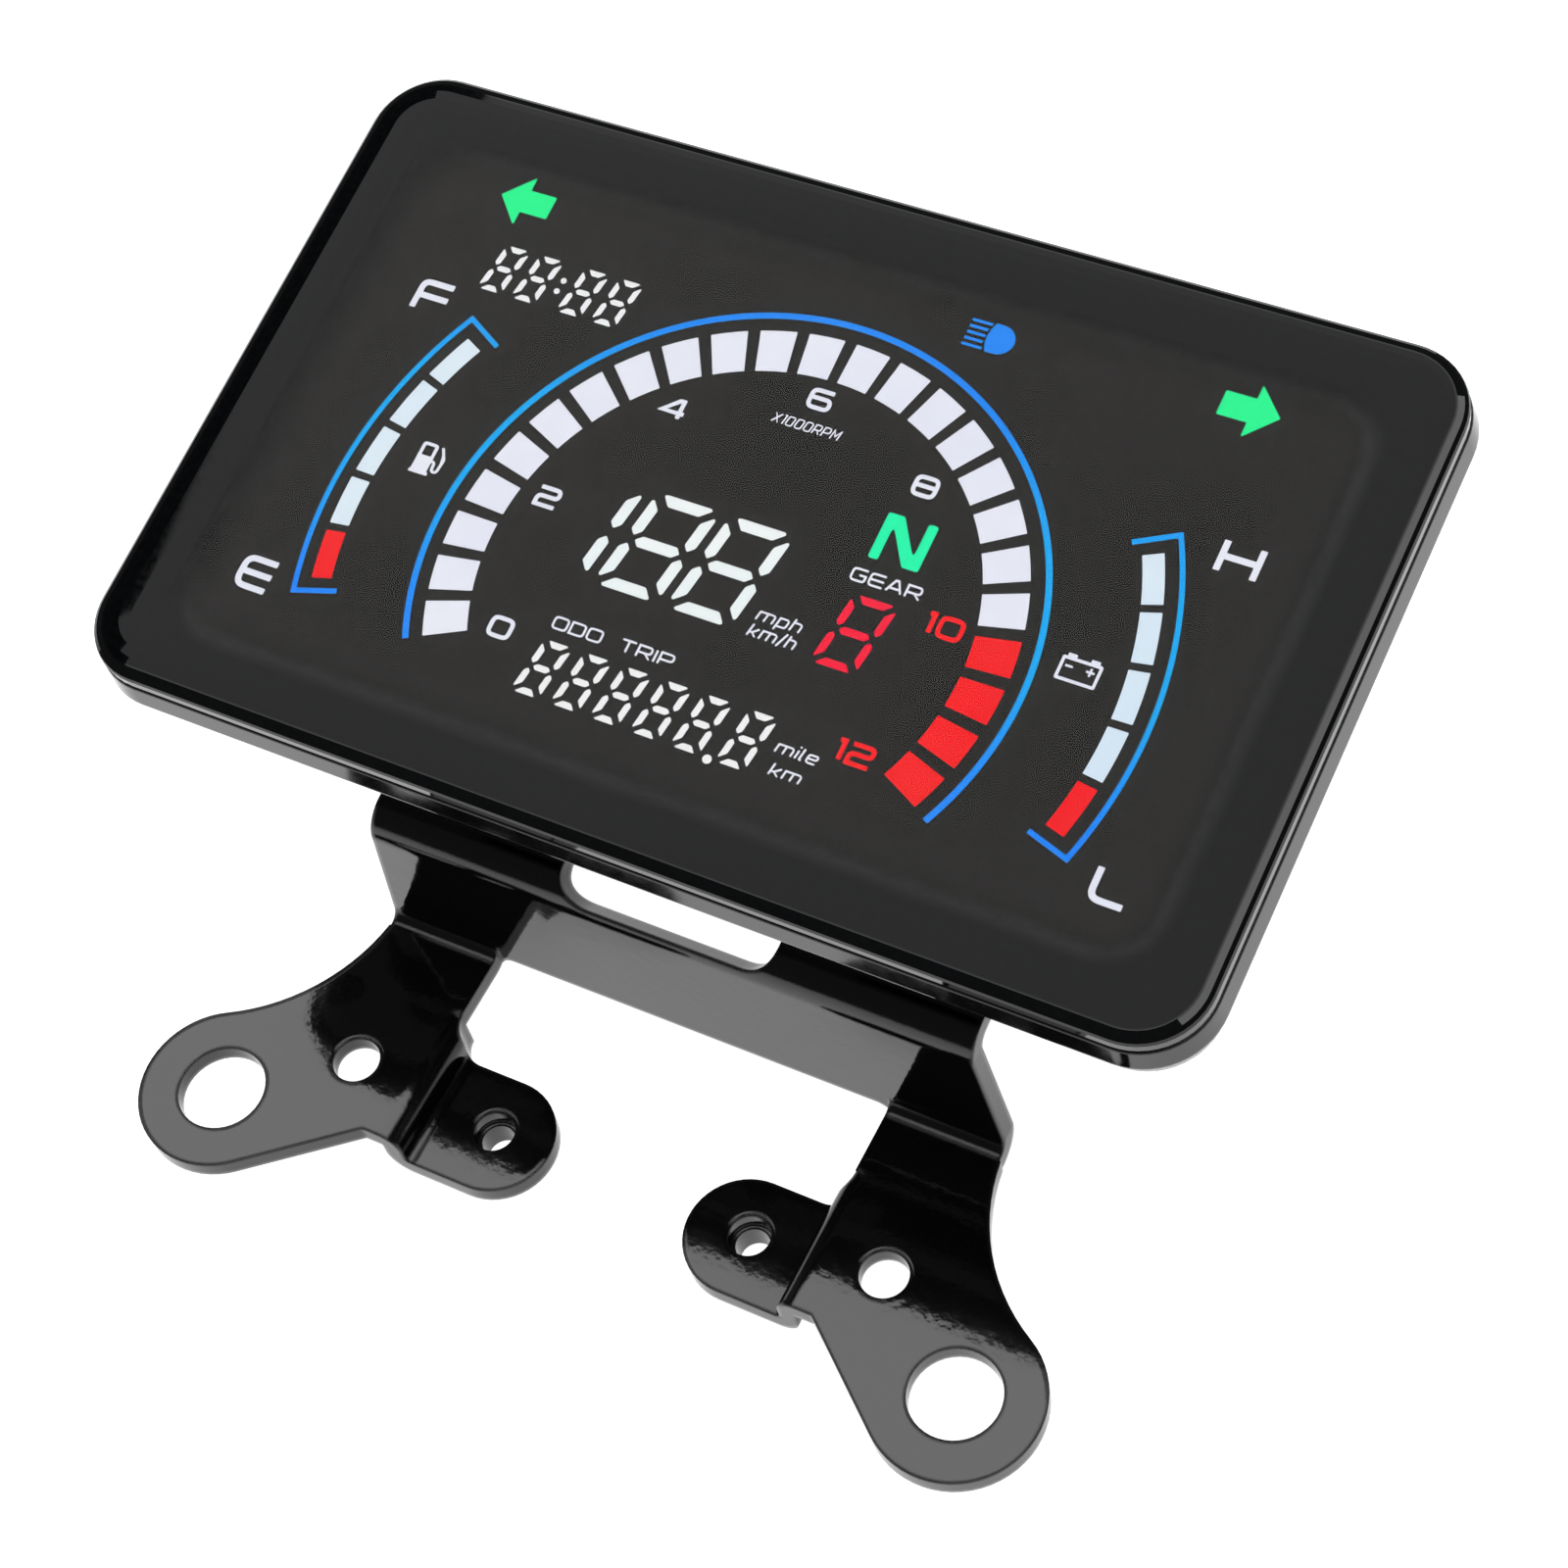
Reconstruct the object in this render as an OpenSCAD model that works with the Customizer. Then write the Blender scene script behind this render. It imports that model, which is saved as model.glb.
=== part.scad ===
// Motorcycle instrument cluster: a sealed display head on rubber dampers, held by
// a bent steel bracket that bolts to the top fork clamp.
// Row frame: +Z up, +X to the rider's right, the rider looks along +Y.
// The origin is midway between the two large bracket holes, on the legs' underside.
// The head's own frame has X right, Y up along the display and Z out of its face,
// with the origin at the middle of the lens, so depths inside the head are negative Z.

/* [Display head] */
// Width of the lens
face_w = 165; // [155:1:175]
// Height of the lens
face_h = 101; // [97:1:106]
// Corner radius of the lens
face_r = 10; // [8:0.5:13]
// Tilt of the display out of the bracket legs' plane, in degrees
tilt = 9.5; // [5:0.5:15]
// Distance of the display centre ahead of the large bracket holes
head_y = 78.2; // [74:0.2:82]
// Height of the display centre above the legs' underside
head_z = 69.6; // [68:0.2:74]
// Thickness of the lens
lens_t = 3; // [2.5:0.1:3.4]
// Depth of the parting line between the front case and the rear cover
parting = 7.5; // [7.2:0.1:8]
// Flare of the front case's walls, from the lens to the parting line
flare = 0.55; // [0:0.05:0.8]
// Depth of the rear cover's back
cover_back = 25.5; // [25:0.5:27]
// Wall thickness of the two casings
wall = 2.4; // [2:0.1:2.8]

/* [Bracket] */
// Thickness of the bracket's steel sheet
sheet = 3; // [2.5:0.1:3.5]
// Half the width of the bracket at its lower bend
leg_outer = 49.6; // [49:0.1:51]
// Half the width of the bracket behind the head
plate_half_w = 47.3; // [47:0.1:49]
// Half the gap between the two legs
leg_inner = 32; // [31:0.1:33]
// Distance of the upright web's front face ahead of the large holes
web_y = 35; // [34:0.5:36]
// Depth of the upper plate's front face behind the lens face
plate_depth = 32.7; // [32:0.1:34]
// Half the length of the cable slot
slot_half = 17; // [14:0.5:20]
// Drop of the two inner tabs below the legs
tab_drop = 5.85; // [5:0.05:7]

/* [Bracket holes] */
// Half the spacing of the large holes
post_x = 58.8; // [57:0.1:60]
// Diameter of the large holes
post_d = 13; // [12:0.1:14]
// Outer radius of the rings around the large holes
ring_r = 12.4; // [11.5:0.1:14]
// Half the spacing of the bolt holes
bolt_x = 42.6; // [41:0.1:44]
// Distance of the bolt holes ahead of the large holes
bolt_y = 11.6; // [10:0.1:13]
// Diameter of the bolt holes
bolt_d = 7; // [6.4:0.1:8]
// Half the spacing of the tab holes
tab_x = 20.8; // [19:0.1:22]
// Distance of the tab holes ahead of the large holes
tab_y = 11.6; // [10:0.1:13]

/* [Keys] */
// Distance of each key from the head's centre line
key_x = 56; // [52:1:60]
// Height of the keys above the display centre
key_y = 20; // [14:1:26]
// Diameter of a key's stem
key_d = 9; // [8:0.5:10]

/* [Hidden] */

// Layers of the display stack, as depths behind the lens face
tape_t = 0.5;
case_front = lens_t + tape_t;
lcd_w = 151;
lcd_h = 89;
lcd_back = case_front + 2.6;
film_back = lcd_back + 0.6;
light_back = film_back + 3.5;
pcb_back = light_back + 1.6;

// Light box, circuit board and the posts that join them
light_w = 144;
light_h = 79.6;
light_wall = 1.6;
light_rib_w = 2;
pcb_w = 146;
pcb_h = 84;
pcb_post_x = 66;
pcb_post_y = 34;
pcb_post_r = 3;
pcb_screw_r = 1;
pcb_hole_r = 1.3;
led_t = 1.2;
led_columns = [-50 : 20 : 50];
led_rows = [-22, 0, 22];
zebra_x = 33.5;
zebra_w = 56;
zebra_t = 1.4;
zebra_gap = 0.1;

// Parts on the board's rear face, by their centres
controller_at = [-12, 14, 0];
controller_w = 10;
driver_x = 34;
driver_y = -33;
inductor_at = [18, -2, 0];
regulator_at = [28, -2, 0];
capacitor_x = [18, 27];
capacitor_y = 12;
capacitor_r = 3.1;
capacitor_base = 0.8;
header_w = 20;
header_h = 7;
header_t = 6;
header_wall = 1;
pin_w = 0.64;
pin_row = [-7.5 : 2.5 : 7.5];

// Casing outlines: the case stands a hair proud of the lens all round
case_grow = 0.2;
case_w = face_w + 2 * case_grow;
case_h = face_h + 2 * case_grow;
case_r = face_r + case_grow;
rim = 4.6;
lip = 0.25;
cavity_w = case_w - 2 * rim;
cavity_h = case_h - 2 * rim;
cavity_r = case_r - rim;
flange_back = 15.2;
boss_seam = light_back;
tub_inset = 11;
tub_w = case_w - 2 * tub_inset;
tub_h = case_h - 2 * tub_inset;
tub_r = 8;
cover_floor = cover_back - wall;
cover_step = 0.35;

// Edge profiles, front to back, as pairs of depth and inset
lens_edge = [[0, 6], [0.04, 4.2], [0.14, 2.8], [0.35, 1.6], [0.7, 0.7], [1.1, 0.2], [1.6, 0],
    [lens_t, 0]];
front_case_edge = [[case_front, lip], [case_front + lip, 0], [parting, -flare]];
flange_edge = [[parting, cover_step - flare], [10.8, 0.4], [12.8, 1.3], [14.4, 2.6],
    [flange_back, 4.2]];
tub_edge = [[flange_back - 1, -2], [flange_back + 1, 0], [cover_back - 2.5, 0.6],
    [cover_back - 0.8, 1.4], [cover_back, 3.2]];

// Seal cord in a groove in the front case's rim
seal_inset = 2.2;
seal_w = 1.6;
seal_t = 1.2;

// Cover screws: corners and middles of the long sides
cover_screw_x = 75;
cover_screw_y = 43;
cover_screw_r = 1.35;
cover_head_seat = 13;
cover_head_r = 2.7;
cover_recess_r = 3.1;
screw_boss_r = 3;
screw_tip = lcd_back + 0.7;
clearance = 0.05;

// Rubber dampers between the head's bosses and the bracket's upper plate
mount_x = 36;
mount_y = [-34, 2];
damper_flange = 2.5;
boss_back = plate_depth - damper_flange;
boss_r = 7;
grommet_r = 9;
grommet_neck_r = 6.5;
collar_r = 4;
collar_bore_r = 2.8;
collar_back = plate_depth + sheet + damper_flange;
washer_back = collar_back + 1.2;
head_bolt_r = 2.45;
insert_r = 3.6;
insert_front = cover_floor - 1;
washer_r = 8;

// Weld nuts under the tabs
nut_af = 10;
nut_t = 5;
nut_bore_r = 2.5;

// Keys, the gland and the vent in the rear cover
key_travel = 1;
key_back = cover_back + 4;
key_flange_t = 1.5;
key_flange_w = 1.5;
key_nose_r = 2;
key_gap = 0.1;
key_dish_r = 16.2;
key_dish = 0.6;
key_seal_w = 2.2;
switch_w = 6;
switch_body_t = 3.5;
switch_button_r = 1.75;
switch_t = 5.4;
gland_y = -16;
gland_r = 6;
gland_bore_r = 3.5;
gland_flange = 2;
gland_flange_t = 1.5;
gland_reach = 12;
vent_y = 28;
vent_r = 3;
vent_cap = 2.2;
vent_cap_t = 2;
vent_hole_r = 0.6;

// Bracket bends, in the side view with Y across and Z up
bend_in = 2;
bend_out = bend_in + sheet;
crown_in = 2.2;
crown_out = crown_in + sheet;
crown_y = web_y + crown_out;
crown_z = head_z + ((crown_y - head_y) * sin(tilt) - plate_depth - crown_out) / cos(tilt);
crown_v = (crown_y - head_y) * cos(tilt) + (crown_z - head_z) * sin(tilt);
crown_mid = (180 + 90 + tilt) / 2;
plate_top = 14;
plate_r = 8;
strip_low = 2;

// Leg outline: the concave outer edge meets the ring on one smooth curve
neck_y = 36.5;
neck_r = (pow(post_x - leg_outer, 2) + neck_y * neck_y - ring_r * ring_r)
    / (2 * (ring_r + post_x - leg_outer));
neck_x = leg_outer + neck_r;
neck_touch = ring_r / (neck_r + ring_r);
under_angle = 39;
tab_low = 2.4;
tab_r = 8.8;
tab_hole_r = 3.1;
tab_end_x = 20.3;
tab_fillet = 4;
tab_top = tab_low + 2 * tab_r;
gap_fillet = 2.4;
step_x = 30.4;
step_out = 3.2;
step_in = 0.8;

// Cable slot
slot_top = -3;
slot_r = 5;
slot_reach = 12;
slot_low = -1.6;

$fn = 64;

// Carries its children from the head's frame to the row frame
module in_head()
    translate([0, head_y, head_z]) rotate([tilt, 0, 0]) children();

// A flat plate outline with round corners
module rounded(w, h, r) {
    square([w - 2 * r, h], center = true);
    square([w, h - 2 * r], center = true);
    for (x = [-1, 1], y = [-1, 1])
        translate([x * (w / 2 - r), y * (h / 2 - r)]) circle(r);
}

// A slab between two depths behind the lens face
module slab(w, h, r, front, back)
    translate([0, 0, -back]) linear_extrude(back - front) rounded(w, h, r);

// A flat ring between two depths
module ring_slab(w, h, r, band, front, back)
    translate([0, 0, -back]) linear_extrude(back - front) difference() {
        rounded(w, h, r);
        rounded(w - 2 * band, h - 2 * band, max(r - band, 0.5));
    }

// A round post between two depths
module post(r, front, back)
    translate([0, 0, -back]) cylinder(r = r, h = back - front);

// A plate whose edge follows a profile of [depth, inset] pairs, front to back:
// the profile is turned at the corners and runs straight along the sides
module edged_plate(w, h, r, profile) {
    front = -profile[0][0];
    back = -profile[len(profile) - 1][0];
    for (x = [-1, 1] * (w / 2 - r), y = [-1, 1] * (h / 2 - r))
        translate([x, y, 0]) rotate_extrude()
            polygon([[0, front], for (p = profile) [r - p[1], -p[0]], [0, back]]);
    translate([-w / 2 + r, 0, 0]) rotate([90, 0, 90]) linear_extrude(w - 2 * r)
        edge_section(h / 2, profile);
    translate([0, h / 2 - r, 0]) rotate([90, 0, 0]) linear_extrude(h - 2 * r)
        edge_section(w / 2, profile);
}

// The plate's cross-section, for a given half width
module edge_section(half, profile) {
    last = len(profile) - 1;
    polygon([
        for (p = profile) [half - p[1], -p[0]],
        for (k = [last : -1 : 0]) [profile[k][1] - half, -profile[k][0]]
    ]);
}

module at_cover_screws()
    for (x = [-1, 0, 1] * cover_screw_x, y = [-1, 1] * cover_screw_y)
        translate([x, y, 0]) children();

module at_mounts()
    for (x = [-1, 1] * mount_x, y = mount_y) translate([x, y, 0]) children();

// ---------- display stack ----------

module front_lens()
    color([0.05, 0.05, 0.06]) in_head()
        edged_plate(face_w, face_h, face_r, lens_edge);

module lens_tape()
    color([0.02, 0.02, 0.02]) in_head()
        ring_slab(face_w - 3, face_h - 3, face_r - 1.5, 4, lens_t, case_front);

module optical_adhesive()
    color([0.8, 0.85, 0.9]) in_head()
        slab(lcd_w - 1, lcd_h - 1, 1, lens_t, case_front);

module lcd_panel()
    color([0.1, 0.11, 0.12]) in_head()
        slab(lcd_w, lcd_h, 0.8, case_front, lcd_back);

module diffuser_film()
    color([0.93, 0.94, 0.95]) in_head()
        slab(light_w, light_h, 0.8, lcd_back, film_back);

// White light box: a frame with a post under each board screw
module backlight_frame()
    color([0.95, 0.95, 0.93]) in_head() difference() {
        union() {
            ring_slab(light_w, light_h, 2, light_wall, film_back, light_back);
            at_pcb_posts() post(pcb_post_r, film_back, light_back);
            for (x = [-1, 1] * pcb_post_x)
                translate([x, 0, 0])
                    slab(light_rib_w, light_h - light_wall, 0.4, light_back - 2, light_back);
        }
        at_pcb_posts() post(pcb_screw_r + clearance, film_back + 1.5, light_back + 1);
    }

module at_pcb_posts()
    for (x = [-1, 1] * pcb_post_x, y = [-1, 1] * pcb_post_y) translate([x, y, 0]) children();

module backlight_leds()
    color([0.98, 0.93, 0.65]) in_head()
        for (x = led_columns, y = led_rows)
            translate([x, y, 0]) slab(3.2, 2.8, 0.3, light_back - led_t, light_back);

// Elastomer strips that join the glass to the board along its lower edge
module zebra_connectors()
    color([0.85, 0.4, 0.45]) in_head()
        for (x = [-1, 1] * zebra_x)
            translate([x, -light_h / 2 - zebra_t / 2 - zebra_gap, 0])
                slab(zebra_w, zebra_t, 0.2, lcd_back, light_back);

// ---------- electronics ----------

module main_pcb()
    color([0.05, 0.3, 0.16]) in_head() difference() {
        slab(pcb_w, pcb_h, 2, light_back, pcb_back);
        at_cover_screws() post(screw_boss_r + 0.6, light_back - 1, pcb_back + 1);
        at_pcb_posts() post(pcb_hole_r, light_back - 1, pcb_back + 1);
    }

// A chip package on the board's rear face
module chip(w, h, t)
    slab(w, h, 0.3, pcb_back, pcb_back + t);

module microcontroller()
    color([0.07, 0.07, 0.08]) in_head() translate(controller_at) {
        chip(controller_w, controller_w, 1.4);
        for (turn = [0 : 90 : 270], k = [-4 : 1 : 4])
            rotate(turn) translate([k, (controller_w + 1) / 2, 0])
                slab(0.4, 1, 0.05, pcb_back, pcb_back + 0.5);
    }

module lcd_drivers()
    color([0.07, 0.07, 0.08]) in_head()
        for (x = [-1, 1] * driver_x) translate([x, driver_y, 0]) chip(14, 6, 1.2);

// Switching converter: a shielded inductor beside its regulator
module power_module()
    color([0.25, 0.25, 0.27]) in_head() {
        translate(inductor_at) chip(7, 7, 3);
        translate(regulator_at) chip(6, 5, 1.5);
    }

module filter_capacitors()
    color([0.72, 0.74, 0.78]) in_head()
        for (x = capacitor_x) translate([x, capacitor_y, 0]) {
            post(capacitor_r, pcb_back + capacitor_base, pcb_back + 6);
            slab(2 * capacitor_r + 0.4, 2 * capacitor_r + 0.4, 0.6, pcb_back,
                pcb_back + capacitor_base);
        }

// Board socket for the harness, open towards the gland
module harness_header()
    color([0.93, 0.91, 0.85]) in_head() translate([0, gland_y, 0]) {
        difference() {
            slab(header_w, header_h, 0.6, pcb_back, pcb_back + header_t);
            slab(header_w - 2 * header_wall, header_h - 2 * header_wall, 0.4,
                pcb_back + header_wall, pcb_back + header_t + 1);
        }
        for (k = pin_row)
            translate([k, 0, 0])
                slab(pin_w, pin_w, 0.05, pcb_back + header_wall, pcb_back + header_t - 0.6);
    }

module tact_switches()
    color([0.12, 0.12, 0.13]) in_head()
        for (x = [-1, 1] * key_x) translate([x, key_y, 0]) {
            slab(switch_w, switch_w, 0.4, pcb_back, pcb_back + switch_body_t);
            post(switch_button_r, pcb_back + switch_body_t, pcb_back + switch_t);
        }

// A pan-head screw with a hexagon recess, its head's underside at depth seat
module screw(shank_r, tip, seat, head_r, head_t, key_af)
    difference() {
        union() {
            post(shank_r, tip, seat);
            post(head_r, seat, seat + head_t);
        }
        translate([0, 0, -seat - head_t - 1])
            cylinder(d = key_af / cos(30), h = head_t * 0.55 + 1, $fn = 6);
    }

module pcb_screws()
    color([0.75, 0.76, 0.78]) in_head()
        at_pcb_posts() screw(pcb_screw_r, film_back + 2, pcb_back, 2.2, 1.5, 1.5);

// ---------- casings ----------

// Front frame: a deep rim, a ledge for the lens and the glass, and screw bosses
module front_case()
    color([0.03, 0.03, 0.035]) in_head() difference() {
        union() {
            difference() {
                edged_plate(case_w, case_h, case_r, front_case_edge);
                slab(lcd_w + 1, lcd_h + 1, 1.2, case_front - 1, parting + 1);
                slab(cavity_w, cavity_h, cavity_r, film_back, parting + 1);
            }
            at_cover_screws() post(screw_boss_r, lcd_back, boss_seam);
            for (x = [-1, 0, 1] * cover_screw_x, side = [-1, 1])
                translate([x, side * (cavity_h / 2 - 1), 0])
                    slab(2 * screw_boss_r, 3, 0.2, lcd_back, parting);
        }
        at_cover_screws() post(cover_screw_r + clearance, screw_tip - 0.2, boss_seam + 1);
        ring_slab(case_w - 2 * seal_inset, case_h - 2 * seal_inset, case_r - seal_inset,
            seal_w, parting - seal_t, parting + 1);
    }

module case_seal()
    color([0.35, 0.08, 0.07]) in_head()
        ring_slab(case_w - 2 * seal_inset, case_h - 2 * seal_inset, case_r - seal_inset,
            seal_w, parting - seal_t, parting);

// Rear cover: a rounded flange and a deeper tub with bosses for the dampers
module rear_cover()
    color([0.045, 0.045, 0.05]) in_head() difference() {
        union() {
            difference() {
                union() {
                    edged_plate(case_w, case_h, case_r, flange_edge);
                    edged_plate(tub_w, tub_h, tub_r, tub_edge);
                }
                slab(cavity_w, cavity_h, cavity_r, parting - 1, flange_back - wall);
                slab(tub_w - 2 * wall, tub_h - 2 * wall, tub_r - wall, parting, cover_floor);
            }
            at_cover_screws() post(screw_boss_r + 0.4, boss_seam, flange_back - wall + 0.1);
            at_mounts() post(boss_r, insert_front - 1.5, boss_back);
        }
        at_cover_screws() {
            post(screw_boss_r + clearance, parting - 1, boss_seam);
            post(cover_screw_r + clearance, parting - 1, cover_head_seat + 1);
            post(cover_recess_r, cover_head_seat, flange_back + 2);
        }
        at_mounts() post(insert_r, insert_front, boss_back + 1);
        for (x = [-1, 1] * key_x)
            translate([x, key_y, 0]) post(key_d / 2 + key_gap, cover_floor - 1, cover_back + 1);
        translate([0, gland_y, 0]) post(gland_r, cover_floor - 1, cover_back + 1);
        translate([0, vent_y, 0]) post(vent_r, cover_floor - 1, cover_back + 1);
    }

module cover_screws()
    color([0.2, 0.2, 0.22]) in_head()
        at_cover_screws()
            screw(cover_screw_r, screw_tip, cover_head_seat, cover_head_r, 1.8, 2);

module threaded_inserts()
    color([0.8, 0.62, 0.3]) in_head()
        at_mounts() difference() {
            post(insert_r, insert_front, boss_back);
            post(head_bolt_r + clearance, insert_front + 1, boss_back + 1);
        }

// Rubber inlet for the harness, tapered outside and flanged inside
module cable_gland()
    color([0.06, 0.06, 0.06]) in_head() translate([0, gland_y, 0]) difference() {
        union() {
            post(gland_r + gland_flange, cover_floor - gland_flange_t, cover_floor);
            post(gland_r, cover_floor, cover_back);
            post(gland_r + gland_flange, cover_back, cover_back + gland_flange_t);
            translate([0, 0, -cover_back - gland_reach])
                cylinder(r1 = gland_r - 1.2, r2 = gland_r + 0.6, h = gland_reach - gland_flange_t);
        }
        post(gland_bore_r, cover_floor - 2, cover_back + gland_reach + 1);
    }

// Breather that lets the sealed head equalise its pressure
module vent_plug()
    color([0.1, 0.1, 0.11]) in_head() translate([0, vent_y, 0]) difference() {
        union() {
            post(vent_r, cover_floor, cover_back);
            post(vent_r + vent_cap, cover_back, cover_back + vent_cap_t);
        }
        for (turn = [0 : 60 : 300])
            rotate(turn) translate([vent_r + vent_hole_r, 0, 0])
                post(vent_hole_r, cover_back + 1, cover_back + vent_cap_t + 1);
    }

// ---------- keys ----------

// A dished key: stem through the cover, flange inside and a nose over its switch
module key(x)
    translate([x, key_y, 0]) {
        flange_rear = cover_floor - key_gap;
        difference() {
            post(key_d / 2, flange_rear - key_flange_t, key_back);
            translate([0, 0, -key_back - key_dish_r + key_dish]) sphere(r = key_dish_r);
        }
        post(key_d / 2 + key_flange_w, flange_rear - key_flange_t, flange_rear);
        post(key_nose_r, pcb_back + switch_t + key_travel + clearance, flange_rear - key_flange_t);
    }

module mode_key()
    color([0.14, 0.14, 0.15]) in_head() key(-key_x);

module set_key()
    color([0.14, 0.14, 0.15]) in_head() key(key_x);

module key_seals()
    color([0.2, 0.2, 0.2]) in_head()
        for (x = [-1, 1] * key_x) translate([x, key_y, 0]) difference() {
            post(key_d / 2 + key_seal_w, cover_back, cover_back + 1);
            post(key_d / 2 + key_gap, cover_back - 1, cover_back + 2);
        }

// ---------- bracket ----------

// A band between two radii and two angles, in the plane
module band(inner, outer, from, to)
    intersection() {
        difference() {
            circle(outer);
            circle(inner);
        }
        polygon([[0, 0], for (a = [from : (to - from) / 4 : to + 0.01]) 2 * outer * [cos(a), sin(a)]]);
    }

// Extrudes a side view, with Y across and Z up, between two X values
module across(x0, x1)
    translate([x0, 0, 0]) rotate([90, 0, 90]) linear_extrude(x1 - x0) children();

// Plan of the right leg: neck, concave outer edge and the ring round the large hole
module leg_plan() {
    under = [post_x - ring_r * sin(under_angle), -ring_r * cos(under_angle)];
    touch = [post_x, 0] + neck_touch * [neck_x - post_x, neck_y];
    root_x = under[0] - (tab_low - under[1]) / tan(under_angle);
    difference() {
        polygon([
            [leg_inner, web_y - bend_in], [neck_x, web_y - bend_in], touch, [post_x, 0],
            under, [root_x, tab_low], [step_x + step_out, tab_low],
            [step_x + step_out, tab_top + tab_fillet], [leg_inner, tab_top + tab_fillet]
        ]);
        translate([neck_x, neck_y]) circle(neck_r, $fn = 128);
    }
    translate([post_x, 0]) circle(ring_r);
}

// Side view of the step down to a tab, with X across and Z up
module step_section() {
    translate([step_x + step_out, sheet - step_out]) band(step_out - sheet, step_out, 90, 180);
    translate([step_x, step_in - tab_drop + sheet])
        square([sheet, tab_drop - step_out - step_in]);
    translate([step_x - step_in, step_in - tab_drop + sheet]) band(step_in, step_in + sheet, -90, 0);
}

module leg() {
    difference() {
        linear_extrude(sheet) leg_plan();
        translate([post_x, 0, -1]) cylinder(d = post_d, h = sheet + 2);
        translate([bolt_x, bolt_y, -1]) cylinder(d = bolt_d, h = sheet + 2);
    }
    step_and_tab();
    across(leg_inner, leg_outer) lower_bend();
    // the corner between the leg and the web is filleted
    difference() {
        across(leg_inner - gap_fillet, leg_inner) intersection() {
            lower_bend();
            translate([web_y, 0]) square([web_y, strip_low]);
        }
        translate([leg_inner - gap_fillet, 0, strip_low - gap_fillet]) rotate([-90, 0, 0])
            cylinder(r = gap_fillet, h = 2 * web_y);
    }
}

// The bend from a leg up to the web, in the side view
module lower_bend()
    translate([web_y - bend_in, bend_out]) band(bend_in, bend_out, -90, 0);

// The step down and the tab, with a fillet where they leave the leg
module step_and_tab()
    difference() {
        union() {
            translate([0, tab_top + tab_fillet, 0]) rotate([90, 0, 0])
                linear_extrude(2 * tab_r + tab_fillet) step_section();
            translate([0, 0, -tab_drop]) linear_extrude(sheet) {
                translate([tab_end_x, tab_low + tab_r]) circle(tab_r);
                translate([tab_end_x, tab_low])
                    square([step_x - step_in - tab_end_x, 2 * tab_r]);
                translate([leg_inner - tab_fillet, tab_top])
                    square([step_x - step_in - leg_inner + tab_fillet, tab_fillet]);
            }
        }
        translate([tab_x, tab_y, -tab_drop - 1]) cylinder(r = tab_hole_r, h = sheet + 2);
        translate([leg_inner - tab_fillet, tab_top + tab_fillet, -tab_drop - 1])
            cylinder(r = tab_fillet, h = tab_drop + sheet + 2);
    }

// The upright web, cut lower between the legs than at the bends
module web()
    translate([0, web_y + sheet, 0]) rotate([90, 0, 0]) linear_extrude(sheet)
        polygon([
            [-leg_outer, bend_out], [-leg_inner, bend_out], [-leg_inner, strip_low],
            [leg_inner, strip_low], [leg_inner, bend_out], [leg_outer, bend_out],
            [plate_half_w, crown_z], [-plate_half_w, crown_z]
        ]);

// The plate behind the head, with its holes for the dampers
module upper_plate()
    in_head() difference() {
        translate([0, 0, -plate_depth - sheet]) linear_extrude(sheet) difference() {
            translate([-plate_half_w, crown_v]) square([2 * plate_half_w, plate_top - crown_v]);
            for (side = [-1, 1])
                translate([side * plate_half_w, plate_top]) difference() {
                    square(2 * plate_r, center = true);
                    translate([-side * plate_r, -plate_r]) circle(plate_r);
                    translate([-side * plate_r * 2, -plate_r * 2]) square(2 * plate_r, center = true);
                }
        }
        at_mounts() post(grommet_neck_r, plate_depth - 1, plate_depth + sheet + 1);
    }

// Cable slot: it runs from the middle of the upper bend into the plate
module cable_slot() {
    translate([0, crown_y, crown_z]) rotate([crown_mid - 90, 0, 0])
        linear_extrude(3 * crown_out) translate([0, slot_reach + slot_low])
            rounded(2 * slot_half, 2 * slot_reach, slot_r);
    in_head() translate([0, 0, -plate_depth - sheet - 1]) linear_extrude(sheet + 2)
        translate([0, (crown_v + slot_top) / 2])
            rounded(2 * slot_half, slot_top - crown_v, slot_r);
}

module bracket()
    color([0.02, 0.02, 0.025]) difference() {
        union() {
            for (side = [0, 1]) mirror([side, 0, 0]) leg();
            web();
            across(-plate_half_w, plate_half_w)
                translate([crown_y, crown_z]) band(crown_in, crown_out, 90 + tilt, 180);
            upper_plate();
        }
        cable_slot();
    }

module weld_nuts()
    color([0.4, 0.4, 0.42])
        for (side = [-1, 1])
            translate([side * tab_x, tab_y, -tab_drop - nut_t]) difference() {
                cylinder(d = nut_af / cos(30), h = nut_t, $fn = 6);
                translate([0, 0, -1]) cylinder(r = nut_bore_r, h = nut_t + 2);
            }

// ---------- dampers and their fasteners ----------

module rubber_grommets()
    color([0.07, 0.07, 0.07]) in_head()
        at_mounts() difference() {
            union() {
                post(grommet_r, boss_back, plate_depth);
                post(grommet_neck_r, plate_depth, plate_depth + sheet);
                post(grommet_r, plate_depth + sheet, collar_back);
            }
            post(collar_r, boss_back - 1, collar_back + 1);
        }

module steel_collars()
    color([0.7, 0.72, 0.74]) in_head()
        at_mounts() difference() {
            post(collar_r, boss_back, collar_back);
            post(collar_bore_r, boss_back - 1, collar_back + 1);
        }

module bracket_washers()
    color([0.72, 0.73, 0.75]) in_head()
        at_mounts() difference() {
            post(washer_r, collar_back, washer_back);
            post(collar_bore_r, collar_back - 1, washer_back + 1);
        }

module bracket_screws()
    color([0.3, 0.3, 0.32]) in_head()
        at_mounts() screw(head_bolt_r, insert_front + 1.5, washer_back, 4.4, 3.4, 4);

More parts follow.
